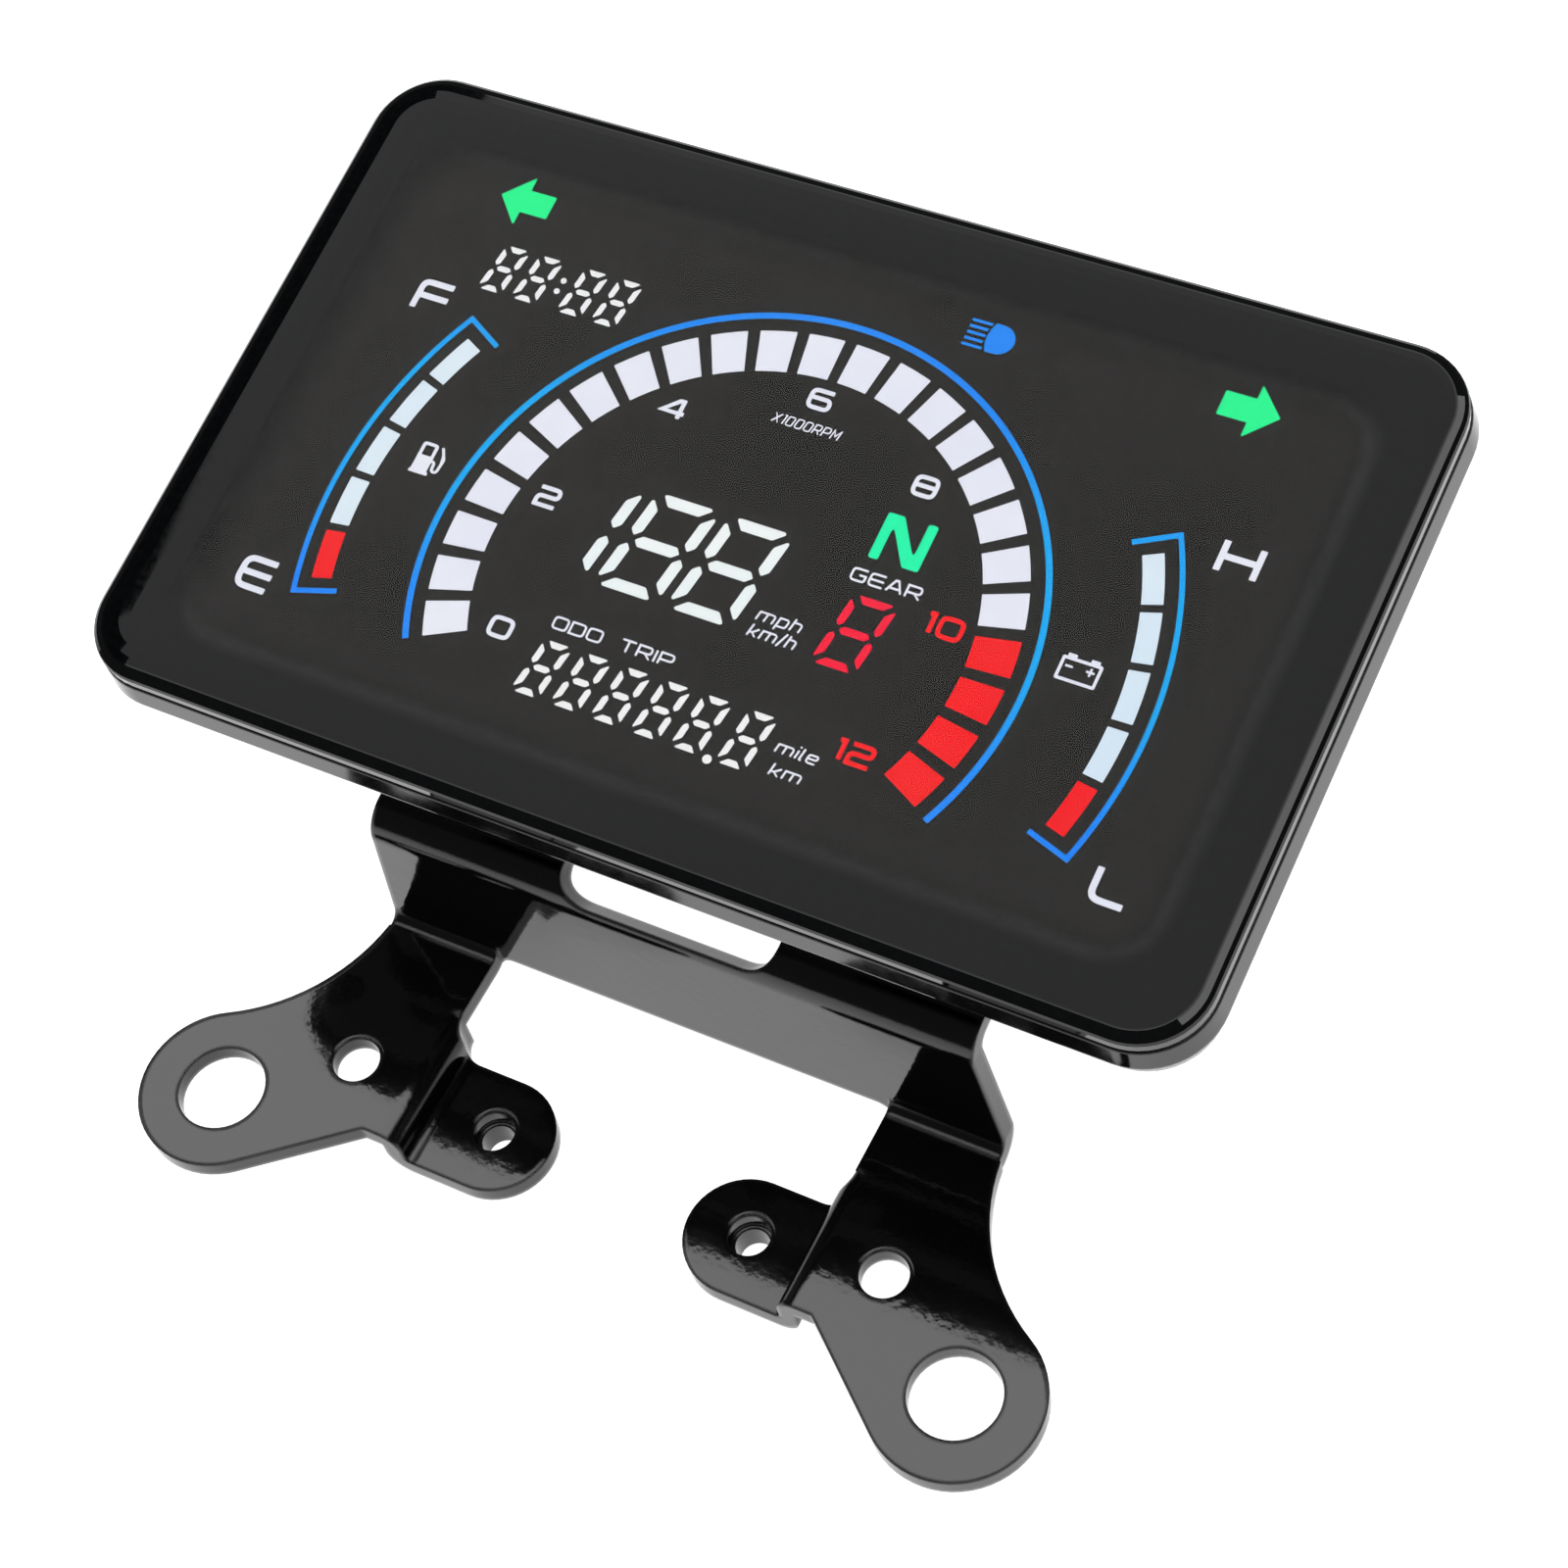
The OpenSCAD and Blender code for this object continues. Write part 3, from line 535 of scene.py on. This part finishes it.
class Print:
    """Collects flat shapes in the head's frame and builds them as one thin mesh."""

    def __init__(self, name, material):
        self.name, self.material = name, material
        self.mesh = bmesh.new()

    def _verts(self, points, depth):
        return [self.mesh.verts.new((p[0], p[1], -depth)) for p in points]

    def outline(self, points, radius=0.0, steps=3):
        points = smooth_outline([Vector(p) for p in points], radius, steps) if radius else points
        area = sum(
            points[k - 1][0] * points[k][1] - points[k][0] * points[k - 1][1]
            for k in range(len(points))
        )
        if area < 0:
            points = list(reversed(points))
        top, low = self._verts(points, PRINT_FRONT), self._verts(points, PRINT_BACK)
        self.mesh.faces.new(top)
        self.mesh.faces.new(list(reversed(low)))
        for k in range(len(points)):
            self.mesh.faces.new((top[k - 1], low[k - 1], low[k], top[k]))

    def stroke(self, left, right, closed):
        lt, rt = (self._verts(side, PRINT_FRONT) for side in (left, right))
        lb, rb = (self._verts(side, PRINT_BACK) for side in (left, right))
        count = len(left)
        for k in range(count if closed else count - 1):
            j = (k + 1) % count
            self.mesh.faces.new((lt[k], rt[k], rt[j], lt[j]))
            self.mesh.faces.new((lb[j], rb[j], rb[k], lb[k]))
            self.mesh.faces.new((lt[j], lb[j], lb[k], lt[k]))
            self.mesh.faces.new((rt[k], rb[k], rb[j], rt[j]))
        if not closed:
            self.mesh.faces.new((lt[0], lb[0], rb[0], rt[0]))
            self.mesh.faces.new((rt[-1], rb[-1], lb[-1], lt[-1]))

    def line(self, points, width, radius=0.0, closed=False):
        self.stroke(*pen(points, width, radius, closed))

    def sector(self, centre, inner, outer, start, end, steps=8):
        """A block between two radii and two angles in degrees."""
        def arc(radius, a, b):
            return [
                (
                    centre[0] + radius * math.cos(math.radians(a + (b - a) * k / steps)),
                    centre[1] + radius * math.sin(math.radians(a + (b - a) * k / steps)),
                )
                for k in range(steps + 1)
            ]

        self.outline(arc(outer, start, end) + arc(inner, end, start))

    def disc(self, centre, radius, steps=24):
        self.outline(
            [
                (
                    centre[0] + radius * math.cos(2 * math.pi * k / steps),
                    centre[1] + radius * math.sin(2 * math.pi * k / steps),
                )
                for k in range(steps)
            ]
        )

    def text(self, words, left, low, height, width, weight, gap, radius, slant=0.0):
        """Writes words from left with capital letters of one height. Slant leans the letters."""
        x = left
        for letter in words:
            share, strokes = GLYPHS[letter]
            w = share * width
            for stroke in strokes:
                loop = stroke[-1] == "loop"
                points = [
                    (
                        x + weight / 2 + p[0] * (w - weight)
                        + slant * (weight / 2 + p[1] * (height - weight)),
                        low + weight / 2 + p[1] * (height - weight),
                        *p[2:],
                    )
                    for p in (stroke[:-1] if loop else stroke)
                ]
                self.line(points, weight, radius * height, loop)
            x += w + gap

    def digit(self, centre, height, width, weight, gap, slant=0.15, parts="abcdefg"):
        """A seven-segment digit about its centre."""
        half = weight / 2
        mid = height / 2
        cut = 0.94 * weight  # how far the outer corners are cut back
        slit = 0.72 * gap  # half of the gap along the slanted ends at the middle
        shapes = {}
        for part, y0, s in (("a", height, -1), ("d", 0, 1)):
            box = [(0, y0), (width, y0), (width, y0 + s * weight), (0, y0 + s * weight)]
            # 45 degree ends towards the verticals, and a cut across the outer corners
            box = clip(box, 1, -s, gap - s * y0)
            box = clip(box, -1, -s, gap - width - s * y0)
            box = clip(box, 1, s, cut + s * y0)
            box = clip(box, -1, s, cut - width + s * y0)
            shapes[part] = box
        for part, side, s in (("f", 0, -1), ("b", 1, -1), ("e", 0, 1), ("c", 1, 1)):
            y0 = height if s < 0 else 0
            x0, dx = (0, 1) if side == 0 else (width, -1)
            box = [(x0, 0), (x0 + dx * weight, 0), (x0 + dx * weight, height), (x0, height)]
            # below or above the outer 45 degree end
            box = clip(box, -dx, s, gap - dx * x0 + s * y0)
            box = clip(box, dx, s, cut + dx * x0 + s * y0)
            # pointed end at the middle
            box = clip(box, 1, -s, slit - s * mid + (x0 + dx * half))
            box = clip(box, -1, -s, slit - s * mid - (x0 + dx * half))
            shapes[part] = box
        low, high = mid - half, mid + half
        bar = [(half, low), (width - half, low), (width - half, high), (half, high)]
        for a, b in ((1, 1), (1, -1)):
            bar = clip(bar, a, b, slit + half + b * mid)
            bar = clip(bar, -a, b, slit + half - width + b * mid)
        shapes["g"] = bar
        for part in parts:
            self.outline(
                [
                    (
                        centre[0] + x - width / 2 + slant * (y - mid),
                        centre[1] + y - mid,
                    )
                    for x, y in shapes[part]
                ],
                radius=weight * 0.12,
                steps=2,
            )

    def build(self, body="root", slot="lcd_glass"):
        bmesh.ops.recalc_face_normals(self.mesh, faces=self.mesh.faces)
        data = bpy.data.meshes.new(self.name)
        self.mesh.to_mesh(data)
        self.mesh.free()
        data.transform(HEAD)
        data.materials.append(self.material)
        piece = bpy.data.objects.new(self.name, data)
        bpy.context.scene.collection.objects.link(piece)
        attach(piece, body)
        return piece


# Each glyph: its width share and its pen strokes in a unit box. "loop" closes a stroke,
# and a third number on a point keeps that corner square.
BOWL = [(0, 0, 0), (0, 1, 0), (1, 1), (1, 0.42), (0, 0.42)]
GLYPHS = {
    "0": (1.0, [[(0, 0), (1, 0), (1, 1), (0, 1), "loop"]]),
    "1": (0.36, [[(0, 1), (1, 1, 0), (1, 0)]]),
    "2": (1.0, [[(0, 1), (1, 1), (1, 0.52), (0, 0.52), (0, 0, 0), (1, 0)]]),
    "4": (1.08, [[(0.8, 0), (0.8, 1, 0), (0.62, 1, 0), (0, 0.3, 0), (1, 0.3)]]),
    "6": (1.0, [[(1, 1), (0, 1), (0, 0), (1, 0), (1, 0.56), (0, 0.56)]]),
    "8": (1.0, [[(0, 0), (1, 0), (1, 1), (0, 1), "loop"], [(0, 0.52), (1, 0.52)]]),
    "A": (1.05, [[(0, 0), (0.4, 1, 0), (0.6, 1, 0), (1, 0)], [(0.2, 0.3), (0.8, 0.3)]]),
    "D": (1.0, [[(0, 0, 0), (1, 0), (1, 1), (0, 1, 0), "loop"]]),
    "E": (1.0, [[(1, 1), (0, 1), (0, 0), (1, 0)], [(0, 0.5), (1, 0.5)]]),
    "F": (1.0, [[(0, 0), (0, 1), (1, 1)], [(0.1, 0.5), (1, 0.5)]]),
    "G": (1.0, [[(1, 1), (0, 1), (0, 0), (1, 0), (1, 0.5, 0), (0.55, 0.5)]]),
    "H": (1.0, [[(0, 0), (0, 1)], [(1, 0), (1, 1)], [(0, 0.5), (1, 0.5)]]),
    "I": (0.16, [[(0.5, 0), (0.5, 1)]]),
    "L": (1.0, [[(0, 1), (0, 0), (1, 0)]]),
    "M": (1.1, [[(0, 0), (0, 1, 0), (0.5, 0.35, 0), (1, 1, 0), (1, 0)]]),
    "O": (1.0, [[(0, 0), (1, 0), (1, 1), (0, 1), "loop"]]),
    "P": (1.0, [BOWL]),
    "R": (1.0, [BOWL, [(0.55, 0.42), (1, 0)]]),
    "T": (1.0, [[(0, 1), (1, 1)], [(0.5, 1), (0.5, 0)]]),
    "X": (1.0, [[(0, 0), (1, 1)], [(0, 1), (1, 0)]]),
    "e": (0.9, [[(1, 0), (0, 0), (0, 0.7), (1, 0.7), (1, 0.36), (0, 0.36)]]),
    "h": (0.85, [[(0, 0), (0, 1)], [(0, 0.7), (1, 0.7), (1, 0)]]),
    "i": (0.14, [[(0.5, 0), (0.5, 0.7)], [(0.5, 0.95), (0.5, 1.08)]]),
    "k": (0.85, [[(0, 0), (0, 1)], [(0, 0.32), (0.4, 0.32), (1, 0.7)], [(0.4, 0.32), (1, 0)]]),
    "l": (0.3, [[(0, 1), (0, 0), (1, 0)]]),
    "m": (1.45, [[(0, 0), (0, 0.7, 0), (1, 0.7), (1, 0)], [(0.5, 0.7), (0.5, 0)]]),
    "p": (0.9, [[(0, -0.32), (0, 0.7, 0), (1, 0.7), (1, 0), (0, 0)]]),
    "/": (0.45, [[(0, -0.12), (1, 1.05)]]),
    " ": (0.85, []),
}

LAVENDER = lit_material("lit_lavender", lit(238, 240, 254), lit(243, 245, 255))
WHITE = lit_material("lit_white", lit(251, 252, 255), lit(255, 255, 255))
ICE = lit_material("lit_ice", lit(222, 240, 255), lit(232, 246, 255))
FROST = lit_material("lit_frost", lit(243, 253, 254), lit(251, 255, 255))
BLUE = lit_material("lit_blue", lit(50, 140, 255), lit(56, 148, 255), spread=lit(42, 178, 250))
RED = lit_material("lit_red", lit(255, 50, 54), lit(255, 56, 58))
GREEN = lit_material("lit_green", lit(54, 255, 152), lit(56, 255, 158))
MINT = lit_material("lit_mint", lit(50, 255, 172), lit(54, 255, 184))

DIAL = (0.0, -11.9)  # centre of the tachometer and of both side gauges


def dial_point(radius, degrees):
    a = math.radians(degrees)
    return (DIAL[0] + radius * math.cos(a), DIAL[1] + radius * math.sin(a))


def build_tachometer():
    first, pitch, block = 206.1, 9.782, 7.2  # degrees
    count, red_from = 24, 20
    bars, redline = Print("tacho_bars", LAVENDER), Print("tacho_redline", RED)
    for k in range(count):
        start = first - k * pitch
        target = redline if k >= red_from else bars
        target.sector(DIAL, 34.8, 41.0, start, start - block)
    bars.build()
    redline.build()
    arc = Print("tacho_arc", BLUE)
    arc.sector(DIAL, 43.0, 43.85, 206.2, -26.5, steps=150)
    arc.build()
    numerals = Print("tacho_numerals", LAVENDER)
    for word, u, v in (
        ("0", -26.9, -25.3), ("2", -29.8, -5.6), ("4", -19.2, 12.3), ("6", -0.2, 19.8), ("8", 19.0, 12.2)
    ):
        numerals.text(word, u - 1.85, v - 1.6, 3.2, 3.6, 0.56, 0.5, radius=0.26)
    numerals.build()
    hot = Print("tacho_red_numerals", RED)
    hot.text("10", 27.1, -7.4, 3.3, 3.65, 0.6, 0.55, radius=0.26)
    hot.text("12", 23.6, -27.6, 3.3, 3.65, 0.6, 0.55, radius=0.26)
    hot.build()
    caption = Print("tacho_caption", LAVENDER)
    caption.text("X1000RPM", -5.5, 14.75, 1.5, 1.06, 0.13, 0.3, slant=0.2, radius=0.2)
    caption.build()


def build_side_gauges():
    rails = Print("gauge_rails", BLUE)
    bars, low_bars = Print("gauge_bars", ICE), Print("gauge_low_bars", RED)
    rail_top, rail_sweep, rail_steps = 27.75, 45.05, 40  # degrees
    for mirror in (1, -1):
        def turn(angle):
            return angle if mirror > 0 else 180 - angle

        path = [dial_point(54.2, turn(rail_top))]
        path += [
            dial_point(60.5, turn(rail_top - rail_sweep * k / rail_steps))
            for k in range(rail_steps + 1)
        ]
        path.append(dial_point(54.2, turn(-17.3)))
        path = [(*p, 0) for p in path]
        rails.line(path, 0.7)
        for k in range(5):
            high = 25.5 - k * 8.4
            (low_bars if k == 4 else bars).sector(
                DIAL, 55.4, 58.25, turn(high), turn(high - 7.2), steps=6
            )
    for piece in (rails, bars, low_bars):
        piece.build()
    letters = Print("gauge_letters", LAVENDER)
    letters.text("F", -63.6, 15.0, 5.2, 5.6, 0.85, 0, radius=0.2)
    letters.text("E", -66.9, -32.0, 5.1, 5.6, 0.85, 0, radius=0.27)
    letters.text("H", 59.2, 12.7, 5.2, 5.8, 0.85, 0, radius=0.0)
    letters.text("L", 61.9, -34.0, 5.1, 5.3, 0.85, 0, radius=0.27)
    letters.build()


def build_fuel_icon():
    icon = Print("fuel_icon", LAVENDER)
    icon.line([(-50.6, -7.7), (-50.6, -3.5), (-48.6, -3.5), (-48.6, -7.7)], 0.42, 0.3, True)
    icon.outline([(-50.5, -7.9), (-48.7, -7.9), (-48.7, -5.3), (-50.5, -5.3)], 0.05)
    icon.line([(-51.0, -7.9), (-48.1, -7.9)], 0.45)
    icon.line(
        [(-48.4, -5.9), (-47.9, -5.9), (-47.75, -7.3), (-46.95, -7.3), (-46.75, -5.2), (-47.7, -3.5)],
        0.36, 0.5,
    )
    icon.outline([(-47.2, -4.6), (-46.6, -4.9), (-46.7, -5.9), (-47.1, -5.6)], 0.05)
    icon.build()


def build_battery_icon():
    icon = Print("battery_icon", LAVENDER)
    icon.line([(46.3, -7.4), (51.5, -7.4), (51.5, -4.4), (46.3, -4.4)], 0.38, 0.1, True)
    for u in (47.3, 50.5):
        icon.outline([(u - 0.6, -4.25), (u + 0.6, -4.25), (u + 0.6, -3.75), (u - 0.6, -3.75)])
    icon.line([(46.9, -5.5), (47.9, -5.5)], 0.26)
    icon.line([(49.8, -5.5), (50.9, -5.5)], 0.26)
    icon.line([(50.35, -6.05), (50.35, -5.65)], 0.26)
    icon.line([(50.35, -5.35), (50.35, -4.95)], 0.26)
    icon.build()


def build_turn_arrows():
    for name, side in (("turn_left_arrow", -1), ("turn_right_arrow", 1)):
        arrow = Print(name, GREEN)
        arrow.outline(
            [
                (side * u, v)
                for u, v in (
                    (59.1, 35.95), (55.2, 39.9), (55.2, 37.75), (50.9, 37.75),
                    (50.9, 34.15), (55.2, 34.15), (55.2, 31.95),
                )
            ],
            0.12,
        )
        arrow.build()


def build_high_beam():
    icon = Print("high_beam_icon", BLUE)
    lamp = [(17.9, 33.45), (19.2, 33.5)]
    lamp += [
        (19.0 + 2.3 * math.cos(math.radians(a)), 35.65 + 2.2 * math.sin(math.radians(a)))
        for a in range(-80, 81, 10)
    ]
    lamp += [(19.2, 37.85), (17.9, 37.9), (17.45, 36.8), (17.3, 35.65), (17.45, 34.5)]
    icon.outline(lamp)
    for k in range(5):
        v = 33.75 + k * 0.95
        icon.line([(14.4, v), (17.3 - 0.25 * (1 if k in (1, 2, 3) else 0), v)], 0.34)
    icon.build()


def build_readouts():
    clock = Print("clock_digits", WHITE)
    for u in (-52.9, -47.4, -40.0, -34.5):
        clock.digit((u, 24.85), 7.4, 3.85, 0.78, 0.6)
    clock.disc((-43.6, 25.8), 0.42)
    clock.disc((-43.8, 24.0), 0.42)
    clock.build()
    odometer = Print("odometer_digits", WHITE)
    for u in (-18.7, -12.65, -6.6, -0.55, 5.5, 12.2):
        odometer.digit((u, -28.9), 8.15, 4.25, 0.86, 0.64)
    odometer.disc((8.4, -33.1), 0.62)
    odometer.build()
    captions = Print("odometer_captions", LAVENDER)
    captions.text("ODO", -20.4, -23.05, 1.9, 2.3, 0.25, 0.32, radius=0.26)
    captions.text("TRIP", -10.1, -23.05, 1.9, 2.2, 0.25, 0.37, radius=0.26)
    captions.text("mile", 16.2, -29.2, 1.85, 1.7, 0.22, 0.4, slant=0.18, radius=0.2)
    captions.text("km", 16.8, -32.35, 1.85, 1.75, 0.22, 0.4, slant=0.18, radius=0.2)
    captions.build()
    speed = Print("speed_digits", FROST)
    for u, parts in ((-23.2, "bc"), (-11.85, "abcdefg"), (-0.7, "abcdefg")):
        speed.digit((u, -7.55), 15.1, 9.75, 1.6, 0.95, slant=0.171, parts=parts)
    speed.build()
    units = Print("speed_captions", LAVENDER)
    units.text("mph", 5.5, -12.9, 1.95, 1.75, 0.22, 0.43, slant=0.2, radius=0.2)
    units.text("km/h", 5.35, -15.35, 1.95, 1.6, 0.22, 0.38, slant=0.2, radius=0.2)
    units.build()


def build_gear():
    neutral = Print("neutral_sign", MINT)
    neutral.outline(
        [
            (15.95 + 7.25 * x, 0.35 + 6.9 * y)
            for x, y in (
                (0, 0), (0, 1), (0.32, 1), (0.81, 0.23), (0.81, 1),
                (1, 1), (1, 0), (0.68, 0), (0.19, 0.77), (0.19, 0),
            )
        ],
        0.35,
    )
    neutral.build()
    caption = Print("gear_caption", LAVENDER)
    caption.text("GEAR", 14.9, -3.45, 1.95, 2.25, 0.25, 0.37, radius=0.26)
    caption.build()
    digit = Print("gear_digit", lit_material("lit_crimson", lit(255, 50, 72), lit(255, 54, 78)))
    digit.digit((19.1, -10.5), 10.7, 6.5, 1.05, 0.75)
    digit.build()


build_tachometer()
build_side_gauges()
build_fuel_icon()
build_battery_icon()
build_turn_arrows()
build_high_beam()
build_readouts()
build_gear()

# ---------- floor, light and camera ----------

FLOOR_GLOW = 1.0
WORLD_GLOW = 0.1
BOX_SIZE = (1.4, 1.2)
BOX_AT = Vector((-0.08, 0.33, 1.05))
BOX_RADIANCE = 3.5
FLOOR_GAP = 0.0005  # metres under the object
CAMERA_AT = Vector((179.1, -139.3, 417.1)) * MM
CAMERA_AIM = Vector((20.94, 44.75, 64.0)) * MM
CAMERA_ROLL = math.radians(-15.96)
CAMERA_SENSOR, CAMERA_LENS = 36.0, 78.17  # millimetres


def build_floor():
    n = Nodes("studio_floor")
    colour = n.mix(n.noise(3, 2), (0.42, 0.42, 0.42), (0.45, 0.45, 0.45))
    made = n.tree.nodes.new("ShaderNodeBsdfPrincipled")
    n.link(colour, made.inputs["Base Color"])
    made.inputs["Roughness"].default_value = 0.8
    made.inputs["Specular IOR Level"].default_value = 0.1
    made.inputs["Emission Color"].default_value = (1, 1, 1, 1)
    made.inputs["Emission Strength"].default_value = FLOOR_GLOW
    n.surface(made.outputs[0])
    data = bpy.data.meshes.new("floor")
    mesh = bmesh.new()
    bmesh.ops.create_grid(mesh, x_segments=2, y_segments=2, size=4.0)
    mesh.to_mesh(data)
    mesh.free()
    data.materials.append(n.mat)
    floor = bpy.data.objects.new("floor", data)
    floor.location = (0, 0, cad_lo.z - FLOOR_GAP)
    bpy.context.scene.collection.objects.link(floor)


def build_world():
    world = bpy.data.worlds.new("studio")
    bpy.context.scene.world = world
    world.use_nodes = True
    tree = world.node_tree
    tree.nodes["Background"].inputs["Color"].default_value = (1, 1, 1, 1)
    tree.nodes["Background"].inputs["Strength"].default_value = WORLD_GLOW


def build_softbox():
    """One large soft light above the object, seen as a reflection by its glossy faces."""
    data = bpy.data.lights.new("softbox", "AREA")
    data.shape = "RECTANGLE"
    data.size, data.size_y = BOX_SIZE
    data.energy = BOX_RADIANCE * math.pi * BOX_SIZE[0] * BOX_SIZE[1]
    box = bpy.data.objects.new("softbox", data)
    box.location = BOX_AT
    bpy.context.scene.collection.objects.link(box)


def aim(item, target, roll):
    direction = target - item.location
    turn = direction.to_track_quat("-Z", "Y").to_matrix().to_4x4()
    item.rotation_mode = "QUATERNION"
    item.rotation_quaternion = (turn @ Matrix.Rotation(roll, 4, "Z")).to_quaternion()


def build_camera():
    data = bpy.data.cameras.new("camera")
    data.sensor_width = CAMERA_SENSOR
    data.lens = CAMERA_LENS
    data.clip_start, data.clip_end = 0.01, 20.0
    camera = bpy.data.objects.new("camera", data)
    camera.location = CAMERA_AT
    bpy.context.scene.collection.objects.link(camera)
    bpy.context.scene.camera = camera
    aim(camera, CAMERA_AIM, CAMERA_ROLL)


build_floor()
build_world()
build_softbox()
build_camera()
bpy.context.scene.view_settings.view_transform = "Standard"
